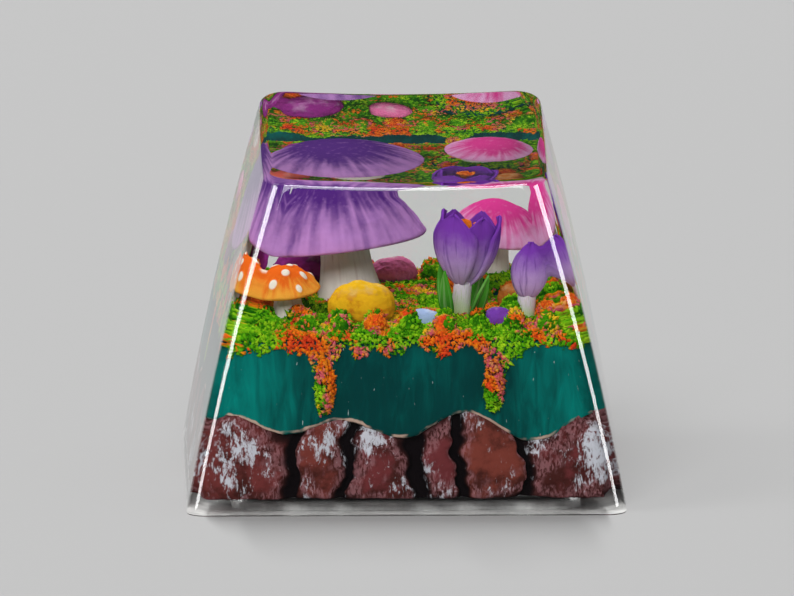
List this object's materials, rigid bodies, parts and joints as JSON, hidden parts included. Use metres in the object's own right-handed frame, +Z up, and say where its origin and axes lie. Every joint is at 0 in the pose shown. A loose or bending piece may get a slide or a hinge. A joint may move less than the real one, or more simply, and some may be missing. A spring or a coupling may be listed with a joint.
{
  "type": "artisan keycap",
  "caption": "Clear resin keycap with a dished top and a miniature garden of toadstools, flowers, stones and moss cast inside, on a cross-socket stem",
  "frame": {"origin": "middle of the base, on the surface that the cap stands on", "axes": "+Z up through the stem, -Y towards the typist (the low edge of the top), +X to the typist's right"},
  "size_m": [0.0184, 0.0184, 0.0153],
  "materials": {
    "amber_paint": "painted",
    "blue_paint": "painted",
    "clear_resin": "clear, polished",
    "coral_paint": "painted",
    "cream_paint": "painted",
    "green_flock": "flocked",
    "leaf_paint": "painted",
    "lilac_paint": "painted",
    "orange_flock": "flocked",
    "orange_paint": "painted",
    "pink_paint": "painted",
    "plum_paint": "painted",
    "purple_paint": "painted",
    "rock_paint": "painted, dry-brushed pale",
    "stem_plastic": "satin",
    "teal_paint": "painted",
    "violet_paint": "painted",
    "yellow_paint": "painted"
  },
  "bodies": {
    "root": {"amber_stone": "amber_paint", "back_strand": "green_flock", "blue_stone": "blue_paint", "bud_petals": "purple_paint", "bud_stalk": "cream_paint", "clear_casting": "clear_resin", "coral_stone": "coral_paint", "crocus_leaf_1": "leaf_paint", "crocus_leaf_2": "leaf_paint", "crocus_leaf_3": "leaf_paint", "crocus_leaf_4": "leaf_paint", "crocus_petals": "purple_paint", "crocus_stalk": "cream_paint", "crocus_stigma": "orange_paint", "front_corner_strand": "green_flock", "front_strand": "green_flock", "green_moss": "green_flock", "left_strand": "green_flock", "lilac_toadstool_cap": "lilac_paint", "lilac_toadstool_stalk": "cream_paint", "orange_moss_1": "orange_flock", "orange_moss_2": "orange_flock", "orange_moss_3": "orange_flock", "orange_moss_4": "orange_flock", "orange_moss_5": "orange_flock", "orange_moss_6": "orange_flock", "orange_moss_7": "orange_flock", "orange_moss_8": "orange_flock", "pink_stone": "pink_paint", "plum_stone": "plum_paint", "right_strand": "green_flock", "rock_base": "rock_paint", "small_toadstool_cap": "orange_paint", "small_toadstool_stalk": "cream_paint", "stem_insert": "stem_plastic", "tall_toadstool_cap": "purple_paint", "tall_toadstool_stalk": "cream_paint", "terrain_layer": "teal_paint", "violet_stone": "violet_paint", "yellow_stone": "yellow_paint"}
  },
  "joints": []
}
